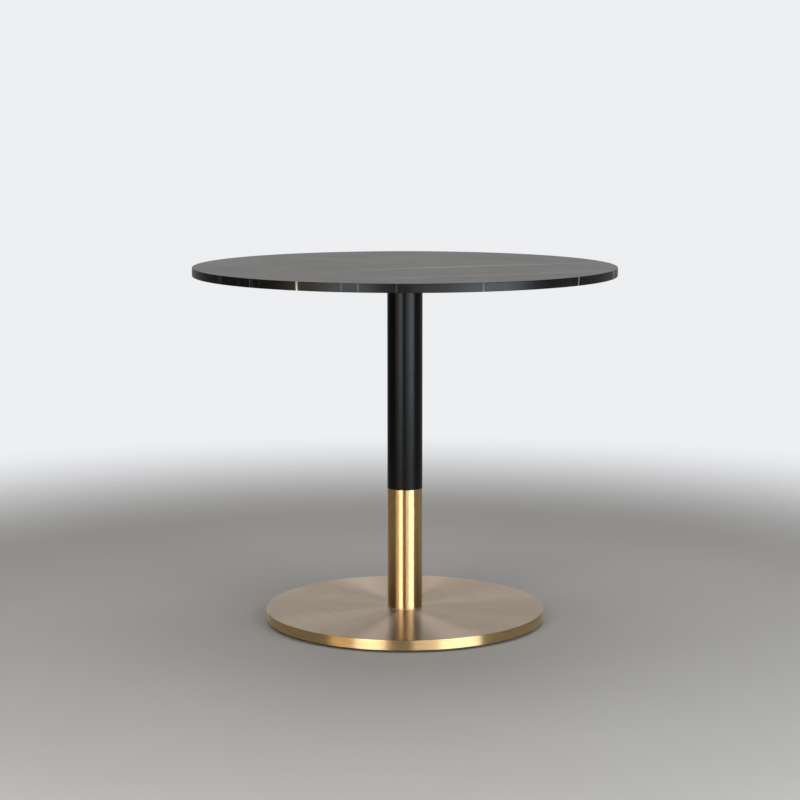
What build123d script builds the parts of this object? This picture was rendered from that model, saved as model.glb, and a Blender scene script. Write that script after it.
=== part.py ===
from build123d import *
import os

# Round pedestal table. Millimetres, +Z up, origin on the floor at the centre of the base.
# A stone top is screwed to a steel plate. One tie rod clamps the plate, the two column tubes
# and the clad cast-iron base together. The base stands on four screw glides.

os.makedirs("parts", exist_ok=True)

# ---- Overall sizes ----
table_height = 762.0
top_diameter = 896.0
top_thickness = 18.0
column_diameter = 75.0
join_height = 287.0
base_diameter = 596.0
base_height = 27.0
floor_gap = 6.0

# ---- Stone top and what holds it ----
top_edge_radius = 1.2
screw_count = 8
screw_circle_diameter = 340.0
screw_diameter = 6.0
screw_head_diameter = 10.5
screw_head_height = 3.3
screw_head_round = 1.4
screw_socket_width = 4.0
screw_socket_depth = 2.0
screw_engagement = 10.0
insert_diameter = 10.0
insert_length = 12.0
insert_end_gap = 0.5
pad_thickness = 1.0
pad_edge_inset = 4.0
plate_diameter = 400.0
plate_thickness = 6.0
plate_edge_chamfer = 1.0
screw_washer_diameter = 12.0
screw_washer_thickness = 1.6

# ---- Column ----
column_wall = 2.0
tube_end_chamfer = 0.3
head_length = 25.0
head_lead_in = 1.5
joiner_length = 120.0
joiner_wall = 3.0
joiner_lead_in = 1.0
foot_ring_thickness = 1.5
foot_ring_overhang = 1.0
foot_ring_chamfer = 0.9

# ---- Tie rod and its nuts ----
rod_diameter = 16.0
rod_end_chamfer = 1.0
rod_top_gap = 2.0
rod_bottom_gap = 3.0
rod_protrusion = 3.0
nut_width = 24.0
nut_height = 13.0
jam_nut_height = 8.0
nut_chamfer = 0.8
lock_washer_diameter = 26.0
lock_washer_thickness = 3.5
lock_washer_split = 2.0
plate_washer_inset = 5.0
plate_washer_thickness = 4.0

# ---- Base ----
cover_sheet = 1.5
cover_edge_radius = 1.2
hub_wall = 5.5
hub_web = 22.0
hub_lead_in = 1.0
liner_thickness = 2.0
liner_recess = 1.0
cap_flange = 3.0
cap_plug_wall = 2.0
cap_plug_depth = 5.0

# ---- Glides ----
glide_count = 4
glide_circle_diameter = 520.0
glide_start_angle = 45.0
glide_insert_diameter = 12.0
glide_insert_roof = 2.5
glide_pad_diameter = 40.0
glide_pad_chamfer = 1.2
glide_pad_rim_gap = 0.5
glide_pad_floor = 1.2
glide_pad_lip = 1.3
stud_diameter = 8.0
stud_head_diameter = 14.0
stud_end_gap = 0.5
stud_end_chamfer = 0.8
stud_key_width = 4.0
stud_key_depth = 1.8
key_hole_clearance = 1.0

# ---- Clearances: radial unless the name says otherwise ----
slip_clearance = 0.15
screw_hole_clearance = 0.5
thread_clearance = 0.05
insert_clearance = 0.05
cover_clearance = 0.3
cover_hole_clearance = 0.5
liner_clearance = 0.5
cap_clearance = 0.2
swivel_clearance = 0.3
swivel_axial_play = 0.1

# ---- Heights worked out from the sizes above ----
top_underside = table_height - top_thickness
plate_top = top_underside - pad_thickness
plate_underside = plate_top - plate_thickness
screw_washer_underside = plate_underside - screw_washer_thickness
screw_tip = top_underside + screw_engagement
head_underside = plate_underside - head_length
jam_nut_underside = head_underside - jam_nut_height
rod_top = plate_underside - rod_top_gap
column_foot = base_height + foot_ring_thickness
weight_top = base_height - cover_sheet
liner_underside = floor_gap + liner_recess
weight_underside = liner_underside + liner_thickness
weight_thickness = weight_top - weight_underside
rod_bottom = weight_underside + rod_bottom_gap
nut_underside = rod_bottom + rod_protrusion
lock_washer_underside = nut_underside + nut_height
plate_washer_underside = lock_washer_underside + lock_washer_thickness
recess_top = plate_washer_underside + plate_washer_thickness
hub_top = recess_top + hub_web
glide_insert_length = weight_thickness - glide_insert_roof
glide_pad_height = floor_gap - glide_pad_rim_gap
stud_head_underside = glide_pad_floor + swivel_axial_play
stud_head_top = glide_pad_height - glide_pad_lip - swivel_axial_play
stud_top = weight_underside + glide_insert_length - stud_end_gap

# ---- Radii worked out from the sizes above ----
screw_circle_radius = screw_circle_diameter / 2
column_radius = column_diameter / 2
tube_bore_radius = column_radius - column_wall
spigot_radius = tube_bore_radius - slip_clearance
rod_radius = rod_diameter / 2
rod_thread_radius = rod_radius + thread_clearance
rod_hole_radius = rod_radius + screw_hole_clearance
base_radius = base_diameter / 2
cover_bore_radius = base_radius - cover_sheet
weight_radius = cover_bore_radius - cover_clearance
recess_radius = spigot_radius - hub_wall
cap_flange_radius = recess_radius + cap_flange
glide_circle_radius = glide_circle_diameter / 2
glide_insert_radius = glide_insert_diameter / 2
stud_radius = stud_diameter / 2
stud_hole_radius = stud_radius + swivel_clearance


# ======== Stone top ========

with BuildPart() as marble_top:
    with BuildSketch(Plane.XY.offset(top_underside)):
        Circle(top_diameter / 2)
    extrude(amount=top_thickness)
    fillet(marble_top.edges().filter_by(GeomType.CIRCLE), top_edge_radius)
    with BuildSketch(Plane.XY.offset(top_underside)):
        with PolarLocations(screw_circle_radius, screw_count):
            Circle(insert_diameter / 2 + insert_clearance)
    extrude(amount=insert_length + insert_end_gap, mode=Mode.SUBTRACT)

marble_top.part.label = "marble_top"
export_step(marble_top.part, "parts/marble_top.step")

# Threaded bushes bonded into blind holes in the underside of the stone.
with BuildPart() as stone_inserts:
    with BuildSketch(Plane.XY.offset(top_underside)):
        with PolarLocations(screw_circle_radius, screw_count):
            Circle(insert_diameter / 2)
            Circle(screw_diameter / 2 + thread_clearance, mode=Mode.SUBTRACT)
    extrude(amount=insert_length)

stone_inserts.part.label = "stone_inserts"
export_step(stone_inserts.part, "parts/stone_inserts.step")

# Thin rubber sheet that keeps the steel plate off the stone.
with BuildPart() as top_pad:
    with BuildSketch(Plane.XY.offset(plate_top)):
        Circle(plate_diameter / 2 - pad_edge_inset)
        with PolarLocations(screw_circle_radius, screw_count):
            Circle(screw_diameter / 2 + screw_hole_clearance, mode=Mode.SUBTRACT)
    extrude(amount=pad_thickness)

top_pad.part.label = "top_pad"
export_step(top_pad.part, "parts/top_pad.step")

with BuildPart() as top_plate:
    with BuildSketch(Plane.XY.offset(plate_underside)):
        Circle(plate_diameter / 2)
    extrude(amount=plate_thickness)
    chamfer(top_plate.edges().filter_by(GeomType.CIRCLE), plate_edge_chamfer)
    with BuildSketch(Plane.XY.offset(plate_underside)):
        with PolarLocations(screw_circle_radius, screw_count):
            Circle(screw_diameter / 2 + screw_hole_clearance)
    extrude(amount=plate_thickness, mode=Mode.SUBTRACT)

top_plate.part.label = "top_plate"
export_step(top_plate.part, "parts/top_plate.step")

with BuildPart() as top_screw_washers:
    with BuildSketch(Plane.XY.offset(screw_washer_underside)):
        with PolarLocations(screw_circle_radius, screw_count):
            Circle(screw_washer_diameter / 2)
            Circle(screw_diameter / 2 + screw_hole_clearance, mode=Mode.SUBTRACT)
    extrude(amount=screw_washer_thickness)

top_screw_washers.part.label = "top_screw_washers"
export_step(top_screw_washers.part, "parts/top_screw_washers.step")

# Button-head screws, heads down, each with a hexagon socket.
with BuildPart() as top_screws:
    with BuildSketch(Plane.XY.offset(screw_washer_underside - screw_head_height)):
        with PolarLocations(screw_circle_radius, screw_count):
            Circle(screw_head_diameter / 2)
    extrude(amount=screw_head_height)
    fillet(top_screws.edges().group_by(Axis.Z)[0], screw_head_round)
    with BuildSketch(Plane.XY.offset(screw_washer_underside)):
        with PolarLocations(screw_circle_radius, screw_count):
            Circle(screw_diameter / 2)
    extrude(amount=screw_tip - screw_washer_underside)
    with BuildSketch(Plane.XY.offset(screw_washer_underside - screw_head_height)):
        with PolarLocations(screw_circle_radius, screw_count):
            RegularPolygon(screw_socket_width / 2, 6, major_radius=False)
    extrude(amount=screw_socket_depth, mode=Mode.SUBTRACT)

top_screws.part.label = "top_screws"
export_step(top_screws.part, "parts/top_screws.step")


# ======== Column ========

# Turned boss welded under the plate: it centres the upper tube and takes the tie rod's thread.
with BuildPart() as column_head:
    with BuildSketch(Plane.XY.offset(head_underside)):
        Circle(spigot_radius)
    extrude(amount=head_length)
    chamfer(column_head.edges().group_by(Axis.Z)[0], head_lead_in)
    with BuildSketch(Plane.XY.offset(head_underside)):
        Circle(rod_thread_radius)
    extrude(amount=head_length, mode=Mode.SUBTRACT)

column_head.part.label = "column_head"
export_step(column_head.part, "parts/column_head.step")

with BuildPart() as upper_tube:
    with BuildSketch(Plane.XY.offset(join_height)):
        Circle(column_radius)
    extrude(amount=plate_underside - join_height)
    chamfer(upper_tube.edges().filter_by(GeomType.CIRCLE), tube_end_chamfer)
    with BuildSketch(Plane.XY.offset(join_height)):
        Circle(tube_bore_radius)
    extrude(amount=plate_underside - join_height, mode=Mode.SUBTRACT)

upper_tube.part.label = "upper_tube"
export_step(upper_tube.part, "parts/upper_tube.step")

with BuildPart() as lower_tube:
    with BuildSketch(Plane.XY.offset(column_foot)):
        Circle(column_radius)
    extrude(amount=join_height - column_foot)
    chamfer(lower_tube.edges().filter_by(GeomType.CIRCLE), tube_end_chamfer)
    with BuildSketch(Plane.XY.offset(column_foot)):
        Circle(tube_bore_radius)
    extrude(amount=join_height - column_foot, mode=Mode.SUBTRACT)

lower_tube.part.label = "lower_tube"
export_step(lower_tube.part, "parts/lower_tube.step")

# Sleeve inside both tubes, centred on the join, that keeps them in line.
with BuildPart() as column_joiner:
    with BuildSketch(Plane.XY.offset(join_height - joiner_length / 2)):
        Circle(spigot_radius)
    extrude(amount=joiner_length)
    chamfer(column_joiner.edges().filter_by(GeomType.CIRCLE), joiner_lead_in)
    with BuildSketch(Plane.XY.offset(join_height - joiner_length / 2)):
        Circle(spigot_radius - joiner_wall)
    extrude(amount=joiner_length, mode=Mode.SUBTRACT)

column_joiner.part.label = "column_joiner"
export_step(column_joiner.part, "parts/column_joiner.step")

with BuildPart() as foot_ring:
    with BuildSketch(Plane.XY.offset(base_height)):
        Circle(column_radius + foot_ring_overhang)
    extrude(amount=foot_ring_thickness)
    chamfer(foot_ring.edges().group_by(Axis.Z)[-1], foot_ring_chamfer)
    with BuildSketch(Plane.XY.offset(base_height)):
        Circle(tube_bore_radius)
    extrude(amount=foot_ring_thickness, mode=Mode.SUBTRACT)

foot_ring.part.label = "foot_ring"
export_step(foot_ring.part, "parts/foot_ring.step")


# ======== Tie rod, nuts and washers ========

with BuildPart() as tie_rod:
    with BuildSketch(Plane.XY.offset(rod_bottom)):
        Circle(rod_radius)
    extrude(amount=rod_top - rod_bottom)
    chamfer(tie_rod.edges().filter_by(GeomType.CIRCLE), rod_end_chamfer)

tie_rod.part.label = "tie_rod"
export_step(tie_rod.part, "parts/tie_rod.step")

with BuildPart() as rod_jam_nut:
    with BuildSketch(Plane.XY.offset(jam_nut_underside)):
        RegularPolygon(nut_width / 2, 6, major_radius=False)
    extrude(amount=jam_nut_height)
    chamfer(rod_jam_nut.edges().group_by(Axis.Z)[0], nut_chamfer)
    with BuildSketch(Plane.XY.offset(jam_nut_underside)):
        Circle(rod_thread_radius)
    extrude(amount=jam_nut_height, mode=Mode.SUBTRACT)

rod_jam_nut.part.label = "rod_jam_nut"
export_step(rod_jam_nut.part, "parts/rod_jam_nut.step")

with BuildPart() as plate_washer:
    with BuildSketch(Plane.XY.offset(plate_washer_underside)):
        Circle(recess_radius - plate_washer_inset)
        Circle(rod_hole_radius, mode=Mode.SUBTRACT)
    extrude(amount=plate_washer_thickness)

plate_washer.part.label = "plate_washer"
export_step(plate_washer.part, "parts/plate_washer.step")

# Spring washer: a flat ring cut through at one place.
with BuildPart() as lock_washer:
    with BuildSketch(Plane.XY.offset(lock_washer_underside)):
        Circle(lock_washer_diameter / 2)
        Circle(rod_hole_radius, mode=Mode.SUBTRACT)
        with Locations((lock_washer_diameter / 2, 0)):
            Rectangle(lock_washer_diameter, lock_washer_split, mode=Mode.SUBTRACT)
    extrude(amount=lock_washer_thickness)

lock_washer.part.label = "lock_washer"
export_step(lock_washer.part, "parts/lock_washer.step")

with BuildPart() as rod_nut:
    with BuildSketch(Plane.XY.offset(nut_underside)):
        RegularPolygon(nut_width / 2, 6, major_radius=False)
    extrude(amount=nut_height)
    chamfer(rod_nut.edges().group_by(Axis.Z)[0], nut_chamfer)
    with BuildSketch(Plane.XY.offset(nut_underside)):
        Circle(rod_thread_radius)
    extrude(amount=nut_height, mode=Mode.SUBTRACT)

rod_nut.part.label = "rod_nut"
export_step(rod_nut.part, "parts/rod_nut.step")


# ======== Base ========

# Spun sheet shell: a flat disc with a plain skirt, open below, with a hole for the hub.
with BuildPart() as base_cover:
    with BuildSketch(Plane.XY.offset(floor_gap)):
        Circle(base_radius)
    extrude(amount=base_height - floor_gap)
    fillet(base_cover.edges().group_by(Axis.Z)[-1], cover_edge_radius)
    with BuildSketch(Plane.XY.offset(floor_gap)):
        Circle(cover_bore_radius)
    extrude(amount=weight_top - floor_gap, mode=Mode.SUBTRACT)
    with BuildSketch(Plane.XY.offset(weight_top)):
        Circle(spigot_radius + cover_hole_clearance)
    extrude(amount=cover_sheet, mode=Mode.SUBTRACT)

base_cover.part.label = "base_cover"
export_step(base_cover.part, "parts/base_cover.step")

# Cast-iron disc with a hub that centres the lower tube. A recess below holds the tie rod's nut.
with BuildPart() as base_weight:
    with BuildSketch(Plane.XY.offset(weight_underside)):
        Circle(weight_radius)
    extrude(amount=weight_thickness)
    with BuildSketch(Plane.XY.offset(weight_top)):
        Circle(spigot_radius)
    extrude(amount=hub_top - weight_top)
    chamfer(base_weight.edges().group_by(Axis.Z)[-1], hub_lead_in)
    with BuildSketch(Plane.XY.offset(weight_underside)):
        Circle(recess_radius)
    extrude(amount=recess_top - weight_underside, mode=Mode.SUBTRACT)
    with BuildSketch(Plane.XY.offset(recess_top)):
        Circle(rod_hole_radius)
    extrude(amount=hub_web, mode=Mode.SUBTRACT)
    with BuildSketch(Plane.XY.offset(weight_underside)):
        with PolarLocations(glide_circle_radius, glide_count, glide_start_angle):
            Circle(glide_insert_radius + insert_clearance)
    extrude(amount=glide_insert_length, mode=Mode.SUBTRACT)

base_weight.part.label = "base_weight"
export_step(base_weight.part, "parts/base_weight.step")

# Black sheet bonded under the iron, with holes for the glide studs and the recess cap.
with BuildPart() as base_liner:
    with BuildSketch(Plane.XY.offset(liner_underside)):
        Circle(cover_bore_radius - liner_clearance)
        Circle(cap_flange_radius + cap_clearance, mode=Mode.SUBTRACT)
        with PolarLocations(glide_circle_radius, glide_count, glide_start_angle):
            Circle(glide_insert_radius, mode=Mode.SUBTRACT)
    extrude(amount=liner_thickness)

base_liner.part.label = "base_liner"
export_step(base_liner.part, "parts/base_liner.step")

# Plug that closes the nut recess: a flange level with the liner and a ring that grips the recess.
with BuildPart() as recess_cap:
    with BuildSketch(Plane.XY.offset(liner_underside)):
        Circle(cap_flange_radius)
    extrude(amount=liner_thickness)
    with BuildSketch(Plane.XY.offset(weight_underside)):
        Circle(recess_radius - cap_clearance)
        Circle(recess_radius - cap_clearance - cap_plug_wall, mode=Mode.SUBTRACT)
    extrude(amount=cap_plug_depth)

recess_cap.part.label = "recess_cap"
export_step(recess_cap.part, "parts/recess_cap.step")


# ======== Glides ========

# Threaded bushes pressed into the iron from below.
with BuildPart() as glide_inserts:
    with BuildSketch(Plane.XY.offset(weight_underside)):
        with PolarLocations(glide_circle_radius, glide_count, glide_start_angle):
            Circle(glide_insert_radius)
            Circle(stud_radius + thread_clearance, mode=Mode.SUBTRACT)
    extrude(amount=glide_insert_length)

glide_inserts.part.label = "glide_inserts"
export_step(glide_inserts.part, "parts/glide_inserts.step")

glide_places = PolarLocations(glide_circle_radius, glide_count, glide_start_angle).local_locations

for number, place in enumerate(glide_places, start=1):
    glide_plane = Plane(place)

    # Nylon foot: it swivels on the stud's head, which a lip keeps in its pocket. A hole in its
    # floor lets a hexagon key reach the stud.
    with BuildPart() as glide_foot:
        with BuildSketch(glide_plane):
            Circle(glide_pad_diameter / 2)
        extrude(amount=glide_pad_height)
        chamfer(glide_foot.edges().filter_by(GeomType.CIRCLE), glide_pad_chamfer)
        with BuildSketch(glide_plane.offset(glide_pad_floor)):
            Circle(stud_head_diameter / 2 + swivel_clearance)
        extrude(amount=glide_pad_height - glide_pad_floor - glide_pad_lip, mode=Mode.SUBTRACT)
        with BuildSketch(glide_plane.offset(glide_pad_height - glide_pad_lip)):
            Circle(stud_hole_radius)
        extrude(amount=glide_pad_lip, mode=Mode.SUBTRACT)
        with BuildSketch(glide_plane):
            Circle(stud_key_width / 2 + key_hole_clearance)
        extrude(amount=glide_pad_floor, mode=Mode.SUBTRACT)

    glide_foot.part.label = f"glide_foot_{number}"
    export_step(glide_foot.part, f"parts/glide_foot_{number}.step")

    # Threaded stud with a flat round head and a hexagon socket in its underside.
    with BuildPart() as glide_stud:
        with BuildSketch(glide_plane.offset(stud_head_underside)):
            Circle(stud_head_diameter / 2)
        extrude(amount=stud_head_top - stud_head_underside)
        with BuildSketch(glide_plane.offset(stud_head_top)):
            Circle(stud_radius)
        extrude(amount=stud_top - stud_head_top)
        chamfer(glide_stud.edges().group_by(Axis.Z)[-1], stud_end_chamfer)
        with BuildSketch(glide_plane.offset(stud_head_underside)):
            RegularPolygon(stud_key_width / 2, 6, major_radius=False)
        extrude(amount=stud_key_depth, mode=Mode.SUBTRACT)

    glide_stud.part.label = f"glide_stud_{number}"
    export_step(glide_stud.part, f"parts/glide_stud_{number}.step")
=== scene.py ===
import math

import bmesh
import bpy
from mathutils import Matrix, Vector


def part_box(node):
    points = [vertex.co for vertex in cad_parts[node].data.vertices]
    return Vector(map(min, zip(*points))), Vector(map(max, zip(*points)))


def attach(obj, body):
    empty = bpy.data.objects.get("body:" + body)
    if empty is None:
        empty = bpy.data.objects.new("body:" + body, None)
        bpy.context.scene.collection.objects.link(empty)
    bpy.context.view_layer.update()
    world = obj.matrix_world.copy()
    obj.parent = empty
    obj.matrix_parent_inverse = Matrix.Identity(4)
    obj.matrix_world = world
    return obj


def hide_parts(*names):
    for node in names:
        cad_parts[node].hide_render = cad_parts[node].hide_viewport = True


# Round pedestal table: a honed black marble top on a black and brass column, with a heavy round
# brass base. Metres, +Z up, the origin on the floor under the column.

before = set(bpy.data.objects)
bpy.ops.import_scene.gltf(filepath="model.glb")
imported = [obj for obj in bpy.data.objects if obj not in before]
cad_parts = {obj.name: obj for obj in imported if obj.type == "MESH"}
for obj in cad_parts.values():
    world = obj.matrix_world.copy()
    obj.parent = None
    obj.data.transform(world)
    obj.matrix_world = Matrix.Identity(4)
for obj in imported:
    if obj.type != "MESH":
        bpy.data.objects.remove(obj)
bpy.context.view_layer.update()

MM = 0.001
# Two measures nearer to each other than this are the same.
NOTHING = 0.0001 * MM
# Points nearer to each other than this are merged.
DOUBLED = 0.001 * MM

# ---- How many sides the round pieces have ----
disc_sides = 256
plate_sides = 192
tube_sides = 128
cap_sides = 96
screw_sides = 48
hexagon_sides = 6
# Edges that turn by less than this are shaded smooth.
smooth_angle = math.radians(35.0)
# The largest faces decide the shading of their edges, so that they look flat.
flat_face_weight = 100

# ---- Sizes that the frame's boxes don't give ----
top_edge_radius = 1.2 * MM
plate_edge_radius = 1.0 * MM
column_wall = 2.0 * MM
tube_end_radius = 0.3 * MM
foot_ring_chamfer = 0.9 * MM
cover_sheet = 1.5 * MM
cover_edge_radius = 1.2 * MM
cover_lip_radius = 0.4 * MM
small_edge_radius = 0.2 * MM

screw_count = 8
screw_circle_radius = 170.0 * MM
screw_head_radius = 5.25 * MM
screw_head_height = 3.3 * MM
screw_head_round = 1.4 * MM
screw_radius = 3.0 * MM
screw_tip_chamfer = 0.6 * MM
screw_socket_width = 4.0 * MM
screw_socket_depth = 2.0 * MM
screw_hole_radius = 3.5 * MM
insert_hole_radius = 5.05 * MM
insert_hole_depth = 12.5 * MM
washer_radius = 6.0 * MM

liner_hole_radius = 6.0 * MM
cap_plug_wall = 2.0 * MM
cap_plug_radius = 29.85 * MM
cap_dish_radius = 9.0 * MM
cap_dish_depth = 0.8 * MM
liner_thickness = 2.0 * MM

glide_count = 4
foot_edge_radius = 1.2 * MM
foot_floor = 1.2 * MM
foot_lip = 1.3 * MM
foot_pocket_radius = 7.3 * MM
foot_bore_radius = 4.3 * MM
foot_key_radius = 3.0 * MM
foot_groove_radius = 14.0 * MM
foot_groove_width = 2.0 * MM
foot_groove_depth = 0.5 * MM
stud_head_radius = 7.0 * MM
stud_head_height = 2.8 * MM
stud_radius = 4.0 * MM
stud_root_radius = 3.4 * MM
stud_pitch = 1.25 * MM
stud_plain_length = 1.5 * MM
stud_key_width = 4.0 * MM
stud_key_depth = 1.8 * MM


# ======== Modelling ========

def only(piece):
    """Makes piece the one selected, active object."""
    bpy.ops.object.select_all(action="DESELECT")
    piece.select_set(True)
    bpy.context.view_layer.objects.active = piece


def pick(piece, kind, test):
    """Selects the verts, edges or faces of piece, in edit mode, that pass the test."""
    mesh = bmesh.from_edit_mesh(piece.data)
    for face in mesh.faces:
        face.select_set(False)
    for edge in mesh.edges:
        edge.select_set(False)
    for vert in mesh.verts:
        vert.select_set(False)
    for item in getattr(mesh, kind):
        if test(item):
            item.select_set(True)
    bmesh.update_edit_mesh(piece.data)


def turned(name, section, sides, centre=(0.0, 0.0), corner_steps=4):
    """Draws a half section point by point, rounds its corners and spins it about its own axis.

    Each point of the section is its radius, its height and how far its corner is rounded.
    """
    bpy.ops.object.select_all(action="DESELECT")
    first_radius, first_height, _ = section[0]
    start = (centre[0] + first_radius, centre[1], first_height)
    bpy.ops.mesh.primitive_plane_add(size=MM, location=start)
    piece = bpy.context.object
    piece.name = name
    piece.data.name = name
    bpy.ops.object.transform_apply(location=True)
    bpy.ops.object.mode_set(mode="EDIT")
    bpy.ops.mesh.select_all(action="SELECT")
    bpy.ops.mesh.merge(type="CENTER")
    for (radius, height, _), (next_radius, next_height, _) in zip(section, section[1:]):
        step = (next_radius - radius, 0.0, next_height - height)
        bpy.ops.mesh.extrude_vertices_move(TRANSFORM_OT_translate={"value": step})
    bpy.ops.mesh.select_all(action="SELECT")
    bpy.ops.mesh.edge_face_add()
    for radius, height, rounding in section:
        if rounding:
            corner = Vector((centre[0] + radius, centre[1], height))
            pick(piece, "verts", lambda vert: (vert.co - corner).length < NOTHING)
            bpy.ops.mesh.bevel(offset=rounding, segments=corner_steps, affect="VERTICES")
    bpy.ops.mesh.select_all(action="SELECT")
    bpy.ops.mesh.delete(type="ONLY_FACE")
    bpy.ops.mesh.select_all(action="SELECT")
    axis_point = (centre[0], centre[1], 0.0)
    bpy.ops.mesh.spin(steps=sides, angle=math.tau, center=axis_point, axis=(0.0, 0.0, 1.0))
    bpy.ops.mesh.select_all(action="SELECT")
    bpy.ops.mesh.remove_doubles(threshold=DOUBLED)
    bpy.ops.mesh.delete_loose(use_verts=True, use_edges=True, use_faces=False)
    bpy.ops.mesh.select_all(action="SELECT")
    bpy.ops.mesh.normals_make_consistent(inside=False)
    bpy.ops.object.mode_set(mode="OBJECT")
    return piece


def round_blank(name, radius, low, high, rounding, sides, corner_steps=4):
    """A round slab with flat faces and both of its edges rounded."""
    bpy.ops.object.select_all(action="DESELECT")
    bpy.ops.mesh.primitive_cylinder_add(
        vertices=sides,
        radius=radius,
        depth=high - low,
        location=(0.0, 0.0, (low + high) / 2),
        rotation=(0.0, 0.0, math.pi / sides),
    )
    piece = bpy.context.object
    piece.name = name
    piece.data.name = name
    bpy.ops.object.transform_apply(location=True, rotation=True)
    bpy.ops.object.mode_set(mode="EDIT")
    pick(piece, "edges", lambda edge: abs(edge.verts[0].co.z - edge.verts[1].co.z) < NOTHING)
    bpy.ops.mesh.bevel(offset=rounding, segments=corner_steps, affect="EDGES")
    bpy.ops.object.mode_set(mode="OBJECT")
    return piece


def cut(piece, centre, radius, low, high, sides=screw_sides):
    """Cuts a straight hole, from low to high, out of piece."""
    bpy.ops.object.select_all(action="DESELECT")
    bpy.ops.mesh.primitive_cylinder_add(
        vertices=sides,
        radius=radius,
        depth=high - low,
        location=(centre[0], centre[1], (low + high) / 2),
    )
    cutter = bpy.context.object
    only(piece)
    hole = piece.modifiers.new("hole", "BOOLEAN")
    hole.object = cutter
    hole.operation = "DIFFERENCE"
    hole.solver = "EXACT"
    bpy.ops.object.modifier_apply(modifier=hole.name)
    bpy.data.objects.remove(cutter)
    bpy.ops.object.mode_set(mode="EDIT")
    bpy.ops.mesh.select_all(action="SELECT")
    bpy.ops.mesh.remove_doubles(threshold=DOUBLED)
    bpy.ops.object.mode_set(mode="OBJECT")


def hex_radius(width):
    """The corner radius of a hexagon that is width across its flats."""
    return width / math.sqrt(3)


def on_circle(radius, count):
    """Evenly spaced places on a circle about the column."""
    angles = [math.tau * number / count for number in range(count)]
    return [(radius * math.cos(angle), radius * math.sin(angle)) for angle in angles]


def smooth(piece):
    """Smooth shading on the rounded edges, with the flat faces left flat."""
    only(piece)
    bpy.ops.object.shade_smooth_by_angle(angle=smooth_angle)
    weighted = piece.modifiers.new("flat faces", "WEIGHTED_NORMAL")
    weighted.keep_sharp = True
    weighted.weight = flat_face_weight
    bpy.ops.object.modifier_apply(modifier=weighted.name)


def copy_to(piece, name, first, place):
    """A copy, with its own mesh, of the piece at the first place, moved to another place."""
    only(piece)
    bpy.ops.object.duplicate()
    twin = bpy.context.object
    twin.name = name
    twin.data.name = name
    bpy.ops.transform.translate(value=(place[0] - first[0], place[1] - first[1], 0.0))
    bpy.ops.object.transform_apply(location=True)
    return twin


def repeat(piece, name, places):
    """The piece at the first place and its copies at the others, numbered from 2."""
    pieces = [piece]
    for number, place in enumerate(places[1:], start=2):
        pieces.append(copy_to(piece, f"{name}_{number}", places[0], place))
    return pieces


def fit_out(piece, body, material, node):
    """Gives a finished piece its material and its body, and hides the node that it stands for."""
    piece.data.materials.clear()
    piece.data.materials.append(material)
    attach(piece, body)
    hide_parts(node)


def radius_of(node):
    """Half the width of a round node's box."""
    low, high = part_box(node)
    return (high.x - low.x) / 2


def centre_of(node):
    """The middle of a node's box, seen from above."""
    low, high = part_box(node)
    return ((low.x + high.x) / 2, (low.y + high.y) / 2)


# ======== Nodes of the materials ========

def fill(tree, node, inputs):
    """Links the inputs that come from another node, and sets the others."""
    for socket, value in inputs.items():
        if isinstance(value, bpy.types.NodeSocket):
            tree.links.new(value, node.inputs[socket])
        else:
            node.inputs[socket].default_value = value


def put(tree, kind, inputs=None, **settings):
    """Adds a shader node with its settings and its inputs."""
    made = tree.nodes.new("ShaderNode" + kind)
    for name, value in settings.items():
        setattr(made, name, value)
    fill(tree, made, inputs or {})
    return made


def calc(tree, operation, first, second=0.0):
    """One step of arithmetic."""
    return put(tree, "Math", {0: first, 1: second}, operation=operation).outputs[0]


def mix(tree, share, low, high):
    """The low colour where share is 0, and the high one where it is 1.

    A Mix node keeps its colours on sockets 6 and 7, and its mixed colour on output 2.
    """
    return put(tree, "Mix", {0: share, 6: low, 7: high}, data_type="RGBA").outputs[2]


def spread(tree, value, low, high, to_low=0.0, to_high=1.0, shape="SMOOTHSTEP"):
    """Maps value from low..high to to_low..to_high, held at both ends."""
    inputs = {0: value, 1: low, 2: high, 3: to_low, 4: to_high}
    return put(tree, "MapRange", inputs, interpolation_type=shape).outputs[0]


def noise(tree, vector, scale, detail=2.0, roughness=0.5):
    """Soft noise about 0.5, with so many patches to a metre."""
    inputs = {"Vector": vector, "Scale": scale, "Detail": detail, "Roughness": roughness}
    return put(tree, "TexNoise", inputs).outputs[0]


def new_group(name, inputs, outputs):
    """An empty shader node group, and its inner input and output sockets."""
    group = bpy.data.node_groups.new(name, "ShaderNodeTree")
    for socket, kind, value in inputs:
        made = group.interface.new_socket(socket, in_out="INPUT", socket_type="NodeSocket" + kind)
        if value is not None:
            made.default_value = value
    for socket, kind in outputs:
        group.interface.new_socket(socket, in_out="OUTPUT", socket_type="NodeSocket" + kind)
    inside = group.nodes.new("NodeGroupInput").outputs
    outside = group.nodes.new("NodeGroupOutput").inputs
    return group, inside, outside


def use(tree, group, **inputs):
    """Places a node group in a material and returns its outputs."""
    placed = put(tree, "Group", node_tree=group)
    fill(tree, placed, {name.replace("_", " "): value for name, value in inputs.items()})
    return placed.outputs


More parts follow.
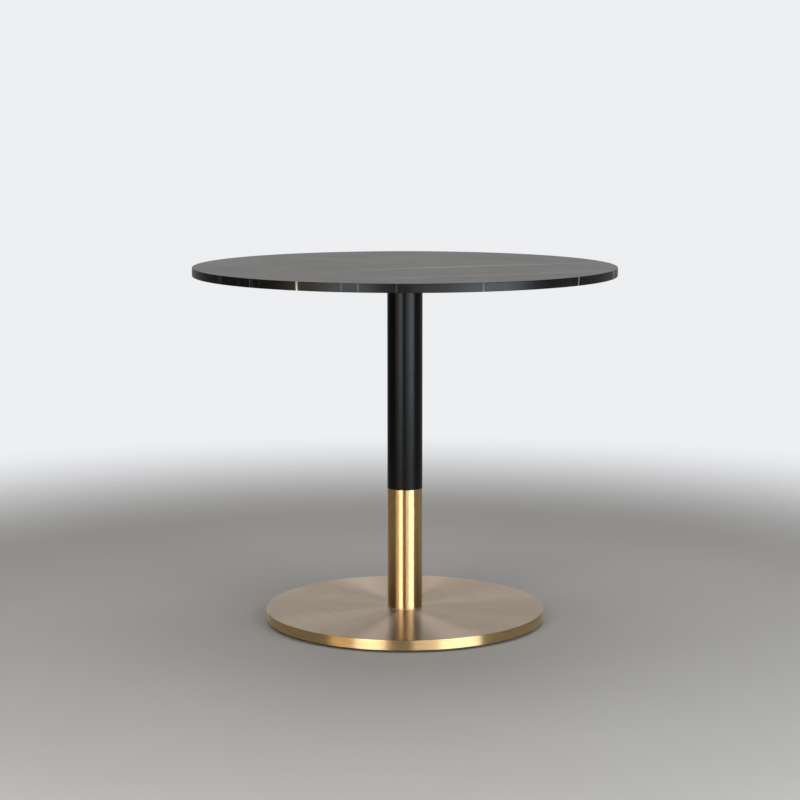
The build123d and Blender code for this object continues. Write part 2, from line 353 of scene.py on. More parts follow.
def make_turning_lines():
    """Fine lines left by brushing round the column: rings on a disc, hoops on a tube."""
    group, inside, outside = new_group(
        "turning lines",
        [("Place", "Vector", None), ("Line width", "Float", MM), ("Arcs", "Float", 6.0)],
        [("Lines", "Float"), ("Bands", "Float"), ("Radius", "Float")],
    )
    parts = put(group, "SeparateXYZ", {0: inside["Place"]}).outputs
    square_x = calc(group, "POWER", parts[0], 2.0)
    square_y = calc(group, "POWER", parts[1], 2.0)
    radius = calc(group, "SQRT", calc(group, "ADD", square_x, square_y))
    across = calc(group, "DIVIDE", calc(group, "ADD", radius, parts[2]), inside["Line width"])
    turn_x = calc(group, "MULTIPLY", calc(group, "DIVIDE", parts[0], radius), inside["Arcs"])
    turn_y = calc(group, "MULTIPLY", calc(group, "DIVIDE", parts[1], radius), inside["Arcs"])
    # Bands are about eleven lines wide.
    broad_across = calc(group, "MULTIPLY", across, 0.09)
    fine = put(group, "CombineXYZ", {0: across, 1: turn_x, 2: turn_y}).outputs[0]
    broad = put(group, "CombineXYZ", {0: broad_across, 1: turn_x, 2: turn_y}).outputs[0]
    fine_lines = noise(group, fine, scale=1.0, detail=3.0, roughness=0.65)
    group.links.new(fine_lines, outside["Lines"])
    group.links.new(noise(group, broad, scale=1.0), outside["Bands"])
    group.links.new(radius, outside["Radius"])
    return group


def make_handling():
    """Soft smudges left by hands and cloths."""
    group, inside, outside = new_group(
        "handling",
        [("Place", "Vector", None), ("Size", "Float", 0.1)],
        [("Smudges", "Float")],
    )
    scale = calc(group, "DIVIDE", 1.0, inside["Size"])
    clouds = noise(group, inside["Place"], scale, detail=4.0, roughness=0.6)
    group.links.new(spread(group, clouds, 0.38, 0.72), outside["Smudges"])
    return group


def make_grain():
    """The fine texture of a coat, a casting or a moulding."""
    group, inside, outside = new_group(
        "surface grain",
        [("Place", "Vector", None), ("Size", "Float", MM)],
        [("Grain", "Float"), ("Patches", "Float")],
    )
    scale = calc(group, "DIVIDE", 1.0, inside["Size"])
    grain = noise(group, inside["Place"], scale, detail=3.0, roughness=0.6)
    # Patches are about thirty grains wide.
    patch_scale = calc(group, "MULTIPLY", scale, 0.03)
    patches = noise(group, inside["Place"], patch_scale, detail=3.0)
    group.links.new(grain, outside["Grain"])
    group.links.new(patches, outside["Patches"])
    return group


def make_vein():
    """One thin mineral sheet that runs through the stone, with a faint halo beside it."""
    group, inside, outside = new_group(
        "vein",
        [
            ("Across", "Float", 0.0),
            ("Along", "Float", 0.0),
            ("Broken", "Float", 0.0),
            ("Place", "Float", 0.0),
            ("Slope", "Float", 0.0),
            ("Bend", "Float", 0.0),
            ("Start", "Float", -1.0),
            ("End", "Float", 1.0),
            ("Width", "Float", MM),
            ("Strength", "Float", 1.0),
        ],
        [("Mask", "Float")],
    )
    along = inside["Along"]
    rise = calc(group, "ADD", inside["Slope"], calc(group, "MULTIPLY", inside["Bend"], along))
    line = calc(group, "ADD", inside["Place"], calc(group, "MULTIPLY", rise, along))
    distance = calc(group, "ABSOLUTE", calc(group, "SUBTRACT", inside["Across"], line))
    # Across, in widths of the vein.
    widths = calc(group, "DIVIDE", distance, inside["Width"])
    core = spread(group, widths, 0.3, 0.7, to_low=1.0, to_high=0.0)
    halo = spread(group, widths, 0.3, 3.0, to_low=0.03, to_high=0.0)
    seen = calc(group, "MULTIPLY", calc(group, "MAXIMUM", core, halo), inside["Strength"])
    # Along, it comes in over 50 mm and dies away over 120 mm.
    begun = spread(group, calc(group, "SUBTRACT", along, inside["Start"]), 0.0, 50 * MM)
    unended = spread(group, calc(group, "SUBTRACT", inside["End"], along), 0.0, 120 * MM)
    ends = calc(group, "MULTIPLY", begun, unended)
    whole = calc(group, "MULTIPLY", ends, inside["Broken"])
    group.links.new(calc(group, "MULTIPLY", seen, whole), outside["Mask"])
    return group


turning_lines = make_turning_lines()
handling = make_handling()
surface_grain = make_grain()
vein = make_vein()


def new_material(name):
    """A material with one shader: itself, its tree, its shader and the place in metres."""
    material = bpy.data.materials.new(name)
    material.use_nodes = True
    tree = material.node_tree
    shader = tree.nodes["Principled BSDF"]
    place = put(tree, "TexCoord").outputs["Object"]
    return material, tree, shader, place


def set_bump(tree, shader, height, strength, distance):
    """Fine relief: strength is how much of it shows, distance how deep it is."""
    bump = put(tree, "Bump", {"Height": height, "Strength": strength, "Distance": distance})
    tree.links.new(bump.outputs[0], shader.inputs["Normal"])


# ======== Materials ========

stone_black = (0.0035, 0.0034, 0.0034, 1.0)
cloud_black = (0.0100, 0.0094, 0.0090, 1.0)
hair_brown = (0.070, 0.062, 0.052, 1.0)
vein_white = (0.62, 0.61, 0.59, 1.0)
vein_tan = (0.30, 0.19, 0.09, 1.0)
# How far the veins' direction is turned from the slab's width.
vein_direction = math.radians(20.0)
# Veins of the stone: place across their direction, slope, bend, where they start and end, width,
# strength, and how tan they are.
veins = [
    (-0.068, 0.066, -0.10, -1.0, 1.0, 1.2 * MM, 0.45, 0.9),
    (-0.062, 0.066, -0.10, -1.0, -0.25, 16.0 * MM, 0.08, 1.0),
    (-0.068, 0.066, -0.10, -0.20, 1.0, 7.0 * MM, 0.85, 0.4),
    (-0.166, 0.020, 0.0, -1.0, 0.1, 1.6 * MM, 0.16, 1.0),
    (-0.203, 0.002, 0.0, -1.0, 0.2, 0.8 * MM, 0.20, 0.1),
    (-0.208, 0.004, 0.0, -1.0, 0.0, 0.7 * MM, 0.14, 0.1),
    (-0.226, 0.004, 0.0, -1.0, 0.1, 0.6 * MM, 0.12, 0.2),
    (-0.241, -0.002, 0.0, 0.1, 1.0, 1.0 * MM, 0.32, 0.0),
    (-0.285, 0.045, 0.0, -1.0, -0.02, 3.6 * MM, 0.95, 0.0),
    (-0.285, 0.045, 0.0, -0.16, 1.0, 4.0 * MM, 0.60, 0.3),
    (-0.232, 0.500, 0.0, -1.0, -0.02, 0.9 * MM, 0.24, 0.1),
    (-0.380, 0.006, 0.0, -1.0, 0.0, 0.8 * MM, 0.22, 0.0),
    (-0.388, -0.002, 0.0, 0.0, 1.0, 1.2 * MM, 0.42, 0.0),
    (-0.415, 0.002, 0.0, -1.0, 0.1, 0.8 * MM, 0.20, 0.1),
    (0.012, 0.015, 0.0, -1.0, 1.0, 1.2 * MM, 0.28, 0.4),
    (0.071, -0.012, 0.0, -0.3, 1.0, 1.8 * MM, 0.40, 0.1),
    (0.148, 0.022, 0.03, -1.0, 0.3, 0.9 * MM, 0.30, 0.6),
    (0.233, 0.010, -0.05, -1.0, 1.0, 2.6 * MM, 0.62, 0.0),
    (0.262, 0.004, 0.0, -0.1, 1.0, 0.9 * MM, 0.35, 0.2),
    (0.341, -0.010, 0.0, -1.0, 1.0, 1.4 * MM, 0.40, 0.3),
    (0.402, 0.006, 0.0, -1.0, 0.1, 1.1 * MM, 0.35, 0.0),
]
# Short veins that run across the others, given in the same way but by the slab's own width.
cross_veins = [
    (0.2005, 0.118, 0.0, -1.0, -0.33, 1.1 * MM, 0.75, 0.0),
    (0.2430, 0.120, 0.0, -1.0, -0.36, 8.0 * MM, 0.05, 0.0),
]


def honed_black_marble():
    """Black stone with thin parallel veins, rubbed to a dull sheen."""
    material, tree, shader, place = new_material("honed_black_marble")
    turn = {"Vector": place, "Rotation": (0.0, 0.0, -vein_direction)}
    turned_place = put(tree, "Mapping", turn).outputs[0]
    stretch = {"Vector": turned_place, "Scale": (0.12, 1.0, 1.0)}
    stretched = put(tree, "Mapping", stretch).outputs[0]
    plain = put(tree, "SeparateXYZ", {0: place}).outputs
    parts = put(tree, "SeparateXYZ", {0: turned_place}).outputs

    # The veins wander a little from their lines, and are fainter here and there.
    drift = calc(tree, "SUBTRACT", noise(tree, place, scale=5.0), 0.5)
    drift = calc(tree, "MULTIPLY", drift, 10 * MM)
    shake = calc(tree, "SUBTRACT", noise(tree, place, scale=42.0, detail=3.0), 0.5)
    shake = calc(tree, "MULTIPLY", shake, 2.5 * MM)
    wander = calc(tree, "ADD", drift, shake)
    broken = spread(tree, noise(tree, stretched, scale=26.0), 0.34, 0.6, to_low=0.35)

    # Black with paler clouds and hairs, drawn out along the veins.
    clouds = noise(tree, stretched, scale=34.0, detail=5.0, roughness=0.62)
    colour = mix(tree, spread(tree, clouds, 0.42, 0.72), stone_black, cloud_black)
    hairs = noise(tree, stretched, scale=120.0, detail=4.0, roughness=0.7)
    hairs = spread(tree, hairs, 0.62, 0.78)
    colour = mix(tree, calc(tree, "MULTIPLY", hairs, 0.35), colour, hair_brown)

    crystal = 0.0
    for across, along, rows in (
        (parts[1], parts[0], veins),
        (plain[0], plain[1], cross_veins),
    ):
        across = calc(tree, "ADD", across, wander)
        for where, slope, bend, start, end, width, strength, tan_share in rows:
            mask = use(
                tree,
                vein,
                Across=across,
                Along=along,
                Broken=broken,
                Place=where,
                Slope=slope,
                Bend=bend,
                Start=start,
                End=end,
                Width=width,
                Strength=strength,
            )["Mask"]
            tint = tuple(w + (t - w) * tan_share for w, t in zip(vein_white, vein_tan))
            colour = mix(tree, mask, colour, tint)
            crystal = calc(tree, "MAXIMUM", mask, crystal)
    tree.links.new(colour, shader.inputs["Base Color"])

    marks = use(tree, handling, Place=place, Size=0.12)["Smudges"]
    pits = use(tree, surface_grain, Place=place, Size=0.9 * MM)
    # Rougher where it is handled, and smoother on the veins.
    rough = spread(tree, marks, 0.0, 1.0, to_low=0.30, to_high=0.325, shape="LINEAR")
    polish = calc(tree, "MULTIPLY", crystal, 0.06)
    rough = calc(tree, "SUBTRACT", rough, polish)
    tree.links.new(rough, shader.inputs["Roughness"])
    shader.inputs["Specular IOR Level"].default_value = 0.2
    set_bump(tree, shader, pits["Grain"], 0.12, 0.05 * MM)
    return material


def brushed_metal(name, clean, aged, roughness, line_width, bump, rim=None):
    """Metal brushed round the column, so that its highlights stretch across the brushing.

    A rim is the radius of an edge, with the colour, aged colour and roughness that the metal
    shows there.
    Inside it the face keeps the colours given; on the base they are darker and greyer, as painted
    shade.
    """
    material, tree, shader, place = new_material(name)
    lines = use(tree, turning_lines, Place=place, Line_width=line_width, Arcs=5.0)
    marks = use(tree, handling, Place=place, Size=0.07)["Smudges"]
    # Bands, lines and smudges each age the colour a little.
    toned = mix(tree, spread(tree, lines["Bands"], 0.3, 0.7, to_high=0.45), clean, aged)
    toned = mix(tree, spread(tree, lines["Lines"], 0.35, 0.75, to_high=0.22), toned, aged)
    toned = mix(tree, calc(tree, "MULTIPLY", marks, 0.25), toned, aged)
    rough = calc(tree, "ADD", roughness - 0.045, calc(tree, "MULTIPLY", lines["Lines"], 0.07))
    rough = calc(tree, "ADD", rough, calc(tree, "MULTIPLY", marks, 0.02))
    if rim:
        rim_radius, rim_clean, rim_aged, rim_roughness = rim
        rim_start = rim_radius - 1.4 * MM
        rim_full = rim_radius - 0.5 * MM
        on_rim = spread(tree, lines["Radius"], rim_start, rim_full)
        rim_tone = mix(tree, spread(tree, lines["Lines"], 0.35, 0.75), rim_clean, rim_aged)
        toned = mix(tree, on_rim, toned, rim_tone)
        smoother = calc(tree, "MULTIPLY", on_rim, roughness - rim_roughness)
        rough = calc(tree, "SUBTRACT", rough, smoother)
    tree.links.new(toned, shader.inputs["Base Color"])
    tree.links.new(rough, shader.inputs["Roughness"])
    shader.inputs["Metallic"].default_value = 1.0
    shader.inputs["Anisotropic"].default_value = 1.0
    shader.inputs["Anisotropic Rotation"].default_value = 0.25
    round_column = put(tree, "Tangent", direction_type="RADIAL", axis="Z")
    tree.links.new(round_column.outputs[0], shader.inputs["Tangent"])
    set_bump(tree, shader, lines["Lines"], bump, 0.02 * MM)
    return material


def plain_metal(name, clean, aged, roughness, grain_size, bump):
    """Metal with no one direction of finish: plated, cast or machined."""
    material, tree, shader, place = new_material(name)
    grain = use(tree, surface_grain, Place=place, Size=grain_size)
    toned = mix(tree, spread(tree, grain["Patches"], 0.35, 0.7), clean, aged)
    tree.links.new(toned, shader.inputs["Base Color"])
    rough = calc(tree, "ADD", roughness - 0.05, calc(tree, "MULTIPLY", grain["Grain"], 0.1))
    tree.links.new(rough, shader.inputs["Roughness"])
    shader.inputs["Metallic"].default_value = 1.0
    set_bump(tree, shader, grain["Grain"], bump, 0.05 * MM)
    return material


def dull_black(name, colour, pale, roughness, grain_size, bump, specular=0.5):
    """Black coat, rubber or moulding: its grain shows in the sheen more than in the colour."""
    material, tree, shader, place = new_material(name)
    grain = use(tree, surface_grain, Place=place, Size=grain_size)
    marks = use(tree, handling, Place=place, Size=0.09)["Smudges"]
    toned = mix(tree, spread(tree, grain["Patches"], 0.35, 0.75), colour, pale)
    tree.links.new(toned, shader.inputs["Base Color"])
    rough = calc(tree, "ADD", roughness - 0.04, calc(tree, "MULTIPLY", grain["Grain"], 0.08))
    rough = calc(tree, "ADD", rough, calc(tree, "MULTIPLY", marks, 0.03))
    tree.links.new(rough, shader.inputs["Roughness"])
    shader.inputs["Specular IOR Level"].default_value = specular
    set_bump(tree, shader, grain["Grain"], bump, 0.05 * MM)
    return material


marble = honed_black_marble()
gold = (0.84, 0.60, 0.29, 1.0)
deep_gold = (0.70, 0.46, 0.20, 1.0)
column_brass = brushed_metal(
    "brushed_column_brass",
    clean=gold,
    aged=deep_gold,
    roughness=0.34,
    line_width=1.1 * MM,
    bump=0.06,
)
# The top face is the same brass sheet as its gold rim. Its darker, greyer clean and aged colours
# are painted shade, standing in for how the flat face reflects the pale wall at a low angle.
base_brass = brushed_metal(
    "turned_base_brass",
    clean=(0.54, 0.43, 0.334, 1.0),
    aged=(0.47, 0.368, 0.272, 1.0),
    roughness=0.33,
    line_width=1.4 * MM,
    bump=0.15,
    rim=(radius_of("base_cover"), gold, deep_gold, 0.34),
)
ring_brass = plain_metal(
    "bright_ring_brass",
    clean=(0.86, 0.72, 0.48, 1.0),
    aged=(0.80, 0.64, 0.38, 1.0),
    roughness=0.36,
    grain_size=0.4 * MM,
    bump=0.05,
)
machined_brass = plain_metal(
    "machined_brass",
    clean=(0.80, 0.60, 0.30, 1.0),
    aged=(0.70, 0.50, 0.22, 1.0),
    roughness=0.3,
    grain_size=0.5 * MM,
    bump=0.1,
)
zinc = plain_metal(
    "zinc_plated_steel",
    clean=(0.62, 0.63, 0.62, 1.0),
    aged=(0.52, 0.52, 0.5, 1.0),
    roughness=0.32,
    grain_size=0.7 * MM,
    bump=0.15,
)
iron = plain_metal(
    "cast_iron",
    clean=(0.13, 0.13, 0.13, 1.0),
    aged=(0.08, 0.078, 0.075, 1.0),
    roughness=0.65,
    grain_size=2.2 * MM,
    bump=0.7,
)
black_coat = dull_black(
    "satin_black_coat",
    colour=(0.002, 0.002, 0.0022, 1.0),
    pale=(0.003, 0.003, 0.0034, 1.0),
    roughness=0.26,
    grain_size=1.6 * MM,
    bump=0.1,
    specular=0.15,
)
rubber = dull_black(
    "black_rubber",
    colour=(0.02, 0.02, 0.02, 1.0),
    pale=(0.032, 0.031, 0.03, 1.0),
    roughness=0.75,
    grain_size=0.8 * MM,
    bump=0.3,
)
nylon = dull_black(
    "moulded_black_nylon",
    colour=(0.018, 0.018, 0.018, 1.0),
    pale=(0.026, 0.026, 0.026, 1.0),
    roughness=0.5,
    grain_size=0.6 * MM,
    bump=0.2,
)


# ======== Stone top and what holds it ========

def make_marble_top():
    """The slab, with blind holes in its underside for the inserts."""
    low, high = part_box("marble_top")
    slab = round_blank(
        "honed_marble_top",
        radius_of("marble_top"),
        low.z,
        high.z,
        rounding=top_edge_radius,
        sides=disc_sides,
        corner_steps=5,
    )
    for place in on_circle(screw_circle_radius, screw_count):
        cut(slab, place, insert_hole_radius, low.z - MM, low.z + insert_hole_depth)
    smooth(slab)
    fit_out(slab, "table", marble, "marble_top")


def make_top_plate():
    """The steel plate under the slab, with through holes for its screws."""
    low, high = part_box("top_plate")
    plate = round_blank(
        "steel_top_plate",
        radius_of("top_plate"),
        low.z,
        high.z,
        rounding=plate_edge_radius,
        sides=plate_sides,
    )
    for place in on_circle(screw_circle_radius, screw_count):
        cut(plate, place, screw_hole_radius, low.z - MM, high.z + MM)
    smooth(plate)
    fit_out(plate, "table", black_coat, "top_plate")


def make_top_screws():
    """Button-head screws and their washers, modelled once and copied round the circle."""
    low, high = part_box("top_screws")
    head_top = low.z + screw_head_height
    places = on_circle(screw_circle_radius, screw_count)
    screw = turned(
        "top_screw_1",
        [
            (0.0, low.z, 0.0),
            (screw_head_radius, low.z, screw_head_round),
            (screw_head_radius, head_top, small_edge_radius),
            (screw_radius, head_top, 0.0),
            (screw_radius, high.z, screw_tip_chamfer),
            (0.0, high.z, 0.0),
        ],
        sides=screw_sides,
        centre=places[0],
        corner_steps=6,
    )
    socket_radius = hex_radius(screw_socket_width)
    socket_top = low.z + screw_socket_depth
    cut(screw, places[0], socket_radius, low.z - MM, socket_top, sides=hexagon_sides)
    smooth(screw)
    low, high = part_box("top_screw_washers")
    washer = turned(
        "screw_washer_1",
        [
            (screw_hole_radius, low.z, small_edge_radius),
            (washer_radius, low.z, small_edge_radius),
            (washer_radius, high.z, small_edge_radius),
            (screw_hole_radius, high.z, small_edge_radius),
        ],
        sides=screw_sides,
        centre=places[0],
        corner_steps=2,
    )
    smooth(washer)
    for piece in repeat(screw, "top_screw", places):
        fit_out(piece, "table", zinc, "top_screws")
    for piece in repeat(washer, "screw_washer", places):
        fit_out(piece, "table", zinc, "top_screw_washers")


# ======== Column ========

def make_tube(name, node, material):
    """One of the two tubes of the column, with eased ends."""
    low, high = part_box(node)
    radius = radius_of(node)
    bore = radius - column_wall
    tube = turned(
        name,
        [
            (bore, low.z, small_edge_radius),
            (radius, low.z, tube_end_radius),
            (radius, high.z, tube_end_radius),
            (bore, high.z, small_edge_radius),
        ],
        sides=tube_sides,
    )
    smooth(tube)
    fit_out(tube, "table", material, node)


def make_foot_ring():
    """The bright ring that closes the joint between the column and the base."""
    low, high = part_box("foot_ring")
    radius = radius_of("foot_ring")
    bore = radius_of("lower_tube") - column_wall
    ring = turned(
        "brass_foot_ring",
        [
            (bore, low.z, small_edge_radius),
            (radius, low.z, small_edge_radius),
            (radius, high.z - foot_ring_chamfer, small_edge_radius),
            (radius - foot_ring_chamfer, high.z, small_edge_radius),
            (bore, high.z, small_edge_radius),
        ],
        sides=tube_sides,
    )
    smooth(ring)
    fit_out(ring, "table", ring_brass, "foot_ring")


# ======== Base ========

def make_base_cover():
    """The spun brass shell over the iron: a flat top, a rolled edge and a plain skirt."""
    low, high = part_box("base_cover")
    radius = radius_of("base_cover")
    inner = radius - cover_sheet
    hole = radius_of("lower_tube") - column_wall
    sheet_low = high.z - cover_sheet
    cover = turned(
        "brass_base_cover",
        [
            (hole, sheet_low, small_edge_radius),
            (inner, sheet_low, small_edge_radius),
            (inner, low.z, cover_lip_radius),
            (radius, low.z, cover_lip_radius),
            (radius, high.z, cover_edge_radius),
            (hole, high.z, small_edge_radius),
        ],
        sides=disc_sides,
        corner_steps=5,
    )
    smooth(cover)
    fit_out(cover, "table", base_brass, "base_cover")


def make_base_liner():
    """The rubber sheet under the iron, with holes for the cap and the glides."""
    low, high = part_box("base_liner")
    radius = radius_of("base_liner")
    hole = radius_of("recess_cap") + small_edge_radius
    liner = turned(
        "rubber_base_liner",
        [
            (hole, low.z, small_edge_radius),
            (radius, low.z, small_edge_radius * 2),
            (radius, high.z, small_edge_radius),
            (hole, high.z, small_edge_radius),
        ],
        sides=plate_sides,
        corner_steps=2,
    )
    for number in range(1, glide_count + 1):
        place = centre_of(f"glide_foot_{number}")
        cut(liner, place, liner_hole_radius, low.z - MM, high.z + MM)
    smooth(liner)
    fit_out(liner, "table", rubber, "base_liner")


def make_recess_cap():
    """The moulded cap over the rod's nut: a flange, a hollow plug and a shallow dish."""
    low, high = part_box("recess_cap")
    flange = radius_of("recess_cap")
    flange_top = low.z + liner_thickness
    dish_top = low.z + cap_dish_depth
    plug_bore = cap_plug_radius - cap_plug_wall
    cap = turned(
        "nut_recess_cap",
        [
            (0.0, dish_top, 0.0),
            (cap_dish_radius - cap_dish_depth, dish_top, small_edge_radius),
            (cap_dish_radius, low.z, small_edge_radius),
            (flange, low.z, small_edge_radius * 2),
            (flange, flange_top, small_edge_radius),
            (cap_plug_radius, flange_top, 0.0),
            (cap_plug_radius, high.z, small_edge_radius),
            (plug_bore, high.z, small_edge_radius),
            (plug_bore, flange_top, 0.0),
            (0.0, flange_top, 0.0),
        ],
        sides=cap_sides,
        corner_steps=3,
    )
    smooth(cap)
    fit_out(cap, "table", nylon, "recess_cap")


# ======== Glides ========

def make_foot(place):
    """A moulded foot: a pocket for the stud's head, a key hole and a groove in its sole."""
    low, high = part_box("glide_foot_1")
    radius = radius_of("glide_foot_1")
    lip_low = high.z - foot_lip
    floor_top = low.z + foot_floor
    groove_top = low.z + foot_groove_depth
    groove_in = foot_groove_radius - foot_groove_width / 2
    groove_out = foot_groove_radius + foot_groove_width / 2
    foot = turned(
        "nylon_foot_1",
        [
            (foot_key_radius, low.z, small_edge_radius),
            (groove_in, low.z, small_edge_radius),
            (groove_in, groove_top, small_edge_radius),
            (groove_out, groove_top, small_edge_radius),
            (groove_out, low.z, small_edge_radius),
            (radius, low.z, foot_edge_radius),
            (radius, high.z, foot_edge_radius),
            (foot_bore_radius, high.z, small_edge_radius),
            (foot_bore_radius, lip_low, 0.0),
            (foot_pocket_radius, lip_low, 0.0),
            (foot_pocket_radius, floor_top, 0.0),
            (foot_key_radius, floor_top, 0.0),
        ],
        sides=cap_sides,
        centre=place,
    )
    smooth(foot)
    return foot


def make_stud(place):
    """A stud with its thread as rings, a flat head and a hexagon socket in its underside."""
    low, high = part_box("glide_stud_1")
    head_top = low.z + stud_head_height
    thread_low = head_top + stud_plain_length
    section = [
        (0.0, low.z, 0.0),
        (stud_head_radius, low.z, small_edge_radius),
        (stud_head_radius, head_top, small_edge_radius),
        (stud_radius, head_top, 0.0),
        (stud_radius, thread_low, 0.0),
    ]
    groove = thread_low + stud_pitch / 2
    while groove + stud_pitch / 2 < high.z:
        section.append((stud_root_radius, groove, 0.0))
        section.append((stud_radius, groove + stud_pitch / 2, 0.0))
        groove += stud_pitch
    section.append((stud_root_radius, high.z, 0.0))
    section.append((0.0, high.z, 0.0))
    stud = turned("threaded_stud_1", section, sides=screw_sides, centre=place)
    key_radius = hex_radius(stud_key_width)
    key_top = low.z + stud_key_depth
    cut(stud, place, key_radius, low.z - MM, key_top, sides=hexagon_sides)
    smooth(stud)
    return stud


def make_glides():
    """The levelling glides: each foot and each stud moves on its own body."""
    places = [centre_of(f"glide_foot_{number}") for number in range(1, glide_count + 1)]
    foot = make_foot(places[0])
    stud = make_stud(places[0])
    glides = [(foot, stud)]
    for number, place in enumerate(places[1:], start=2):
        next_foot = copy_to(foot, f"nylon_foot_{number}", places[0], place)
        next_stud = copy_to(stud, f"threaded_stud_{number}", places[0], place)
        glides.append((next_foot, next_stud))
    for number, (foot, stud) in enumerate(glides, start=1):
        fit_out(foot, f"glide_{number}", nylon, f"glide_foot_{number}")
        fit_out(stud, f"screw_{number}", zinc, f"glide_stud_{number}")


make_marble_top()
make_top_plate()
make_top_screws()
make_tube("black_upper_tube", "upper_tube", black_coat)
make_tube("brass_lower_tube", "lower_tube", column_brass)
make_foot_ring()
make_base_cover()
make_base_liner()
make_recess_cap()
make_glides()

# The inner pieces keep their own shape and get the finish of the real ones.
inner_finishes = {
    "stone_inserts": machined_brass,
    "glide_inserts": machined_brass,
    "top_pad": rubber,
    "column_head": zinc,
    "column_joiner": zinc,
    "tie_rod": zinc,
    "rod_jam_nut": zinc,
    "plate_washer": zinc,
    "lock_washer": zinc,
    "rod_nut": zinc,
    "base_weight": iron,
}
for node, finish in inner_finishes.items():
    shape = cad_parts[node].data
    shape.materials.clear()
    shape.materials.append(finish)


# ======== Studio ========

# The camera stands in front of the table, above its top, and dips towards its foot.
camera_distance = 4.4619
camera_height = 1.1018
camera_dip = math.radians(7.986)
camera_lens = 95.18
camera_shift = -0.00613

# Upright softboxes: name, degrees round from the camera to the right, width, head, brightness,
# colour. Their feet are on the floor.
softbox_distance = 3.0
softboxes = [
    ("left_softbox", -27.3, 1.25, 0.8, 5.8, (0.93, 0.97, 1.0)),
    ("left_reflector", -50.0, 1.00, 0.8, 2.4, (1.0, 0.76, 0.50)),
    ("right_reflector", 15.5, 1.00, 0.8, 3.2, (1.0, 0.98, 0.99)),
    ("right_softbox", 43.3, 1.83, 0.8, 7.8, (0.80, 0.90, 1.0)),
]
# Hung softboxes: name, degrees round from the camera, height angle, distance, width, height,
# brightness, colour.
hung_softboxes = [
    ("high_left_softbox", -27.3, 34.0, 3.1, 1.2, 1.1, 4.4, (1.0, 0.98, 0.95)),
    ("high_right_softbox", 43.0, 34.0, 3.1, 1.7, 1.1, 3.2, (0.94, 0.97, 1.0)),
    ("overhead_softbox", 180.0, 80.0, 3.2, 2.6, 2.6, 1.3, (1.0, 1.0, 1.0)),
]

# Energy of each square metre of a soft light of brightness 1, as bright as a white surface.
energy_per_area = 4

floor_radius = 9.0
floor_sides = 128
floor_tones = (0.385, 0.373, 0.358, 1.0), (0.42, 0.408, 0.393, 1.0)
floor_roughness = 0.8
# The floor fades out between these distances from the column.
floor_fade = (1.1, 2.6)
# Under the base it is clear up to the first of these distances, and whole from the second.
clear_middle = (0.21, 0.24)

# Tones of the backdrop.
wall_foot = (0.85, 0.86, 0.88, 1.0)
wall_middle = (0.44, 0.412, 0.378, 1.0)
wall_head = (0.95, 0.96, 0.97, 1.0)
ceiling = (0.40, 0.40, 0.40, 1.0)
dim_studio = (0.10, 0.095, 0.09, 1.0)
dark_left = (0.065, 0.065, 0.065, 1.0)
dark_left_floor = (0.10, 0.10, 0.10, 1.0)
front_floor = (0.28, 0.274, 0.266, 1.0)
back_floor = (0.34, 0.333, 0.324, 1.0)
# Where one tone gives way to the next, by the parts of a direction of length 1 that is seen
# from the table: x to the right, y to the back and z up.
dark_left_edge = (-0.75, -0.52)
wall_left_edge = (-0.60, -0.38)
wall_right_edge = (0.30, 0.52)
wall_depth_edge = (0.0, 0.3)
wall_foot_edge = (0.095, 0.16)
wall_head_edge = (0.27, 0.43)
ceiling_edge = (0.64, 0.78)
floor_depth_edge = (-0.5, 0.5)
lit_floor_edge = (0.19, 0.33)
horizon = (-0.015, 0.015)


def add_light(name, place, tilt, turn, width, height, brightness, colour):
    """A rectangular soft light of that brightness to the eye."""
    bpy.ops.object.light_add(type="AREA", location=place)
    light = bpy.context.object
    light.name = name
    light.rotation_euler = (tilt, 0.0, turn)
    light.data.shape = "RECTANGLE"
    light.data.size = width
    light.data.size_y = height
    light.data.color = colour
    light.data.energy = brightness * energy_per_area * width * height


def make_softbox(name, angle, width, head, brightness, colour):
    """An upright soft light that faces the column."""
    turn = math.radians(angle)
    place = Vector((math.sin(turn), -math.cos(turn), 0.0)) * softbox_distance
    place.z = head / 2
    add_light(name, place, math.pi / 2, turn, width, head, brightness, colour)


def make_hung_softbox(name, angle, lift, distance, width, height, brightness, colour):
    """A soft light hung above the table that faces its foot."""
    turn = math.radians(angle)
    rise = math.radians(lift)
    flat = distance * math.cos(rise)
    place = (flat * math.sin(turn), -flat * math.cos(turn), distance * math.sin(rise))
    add_light(name, place, math.pi / 2 - rise, turn, width, height, brightness, colour)


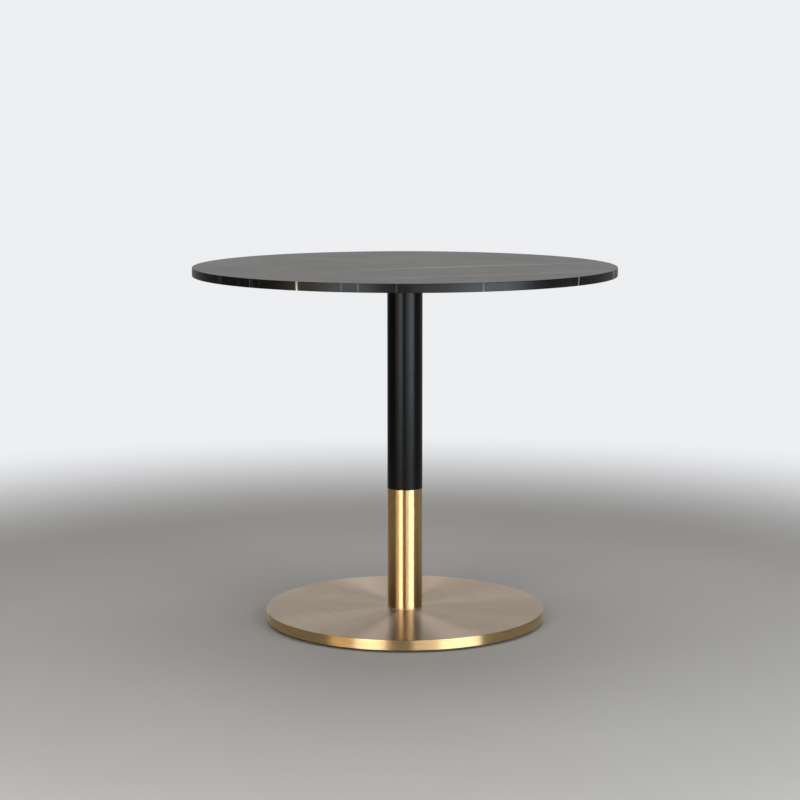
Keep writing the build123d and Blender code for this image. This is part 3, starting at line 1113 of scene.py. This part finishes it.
def make_floor():
    """A pale floor that fades into the backdrop away from the table.

    It is clear under the middle of the base, so that the underside has light on it from below.
    """
    bpy.ops.object.select_all(action="DESELECT")
    bpy.ops.mesh.primitive_circle_add(
        vertices=floor_sides,
        radius=floor_radius,
        fill_type="NGON",
    )
    floor = bpy.context.object
    floor.name = "studio_floor"
    material, tree, shader, place = new_material("pale_floor")
    mottled = mix(tree, noise(tree, place, scale=3.0, detail=4.0), *floor_tones)
    tree.links.new(mottled, shader.inputs["Base Color"])
    shader.inputs["Roughness"].default_value = floor_roughness
    away = put(tree, "VectorMath", {0: place}, operation="LENGTH").outputs["Value"]
    far_off = spread(tree, away, *floor_fade)
    covered = spread(tree, away, *clear_middle, to_low=1.0, to_high=0.0)
    from_below = put(tree, "NewGeometry").outputs["Backfacing"]
    gone = calc(tree, "MAXIMUM", far_off, covered)
    gone = calc(tree, "MAXIMUM", gone, from_below)
    clear = put(tree, "BsdfTransparent").outputs[0]
    faded = put(tree, "MixShader", {0: gone, 1: shader.outputs[0], 2: clear})
    tree.links.new(faded.outputs[0], tree.nodes["Material Output"].inputs["Surface"])
    floor.data.materials.append(material)


def make_backdrop():
    """A pale wall behind the table, in a dim studio whose left side is dark."""
    world = bpy.data.worlds.new("studio")
    bpy.context.scene.world = world
    world.use_nodes = True
    tree = world.node_tree
    facing = put(tree, "TexCoord").outputs["Generated"]
    x, y, z = put(tree, "SeparateXYZ", {0: facing}).outputs
    behind = spread(tree, y, *wall_depth_edge)
    on_left = spread(tree, x, *dark_left_edge, to_low=1.0, to_high=0.0)

    wall = mix(tree, spread(tree, z, *wall_foot_edge), wall_foot, wall_middle)
    wall = mix(tree, spread(tree, z, *wall_head_edge), wall, wall_head)
    wall = mix(tree, spread(tree, z, *ceiling_edge), wall, ceiling)
    past_left = spread(tree, x, *wall_left_edge)
    before_right = spread(tree, x, *wall_right_edge, to_low=1.0, to_high=0.0)
    on_wall = calc(tree, "MULTIPLY", calc(tree, "MULTIPLY", past_left, before_right), behind)
    upper = mix(tree, on_wall, dim_studio, wall)
    upper = mix(tree, on_left, upper, dark_left)

    lower = mix(tree, spread(tree, y, *floor_depth_edge), front_floor, back_floor)
    lower = mix(tree, on_left, lower, dark_left_floor)
    aside = calc(tree, "ABSOLUTE", x)
    before_wall = spread(tree, aside, *lit_floor_edge, to_low=1.0, to_high=0.0)
    lower = mix(tree, calc(tree, "MULTIPLY", before_wall, behind), lower, wall_foot)

    shade = mix(tree, spread(tree, z, *horizon), lower, upper)
    tree.links.new(shade, tree.nodes["Background"].inputs["Color"])


def make_camera():
    """The camera that the scene is seen from."""
    bpy.ops.object.camera_add(
        location=(0.0, -camera_distance, camera_height),
        rotation=(math.pi / 2 - camera_dip, 0.0, 0.0),
    )
    camera = bpy.context.object
    camera.name = "camera"
    camera.data.lens = camera_lens
    camera.data.shift_x = camera_shift
    bpy.context.scene.camera = camera


for softbox in softboxes:
    make_softbox(*softbox)
for softbox in hung_softboxes:
    make_hung_softbox(*softbox)
make_floor()
make_backdrop()
make_camera()
bpy.context.scene.view_settings.view_transform = "Standard"
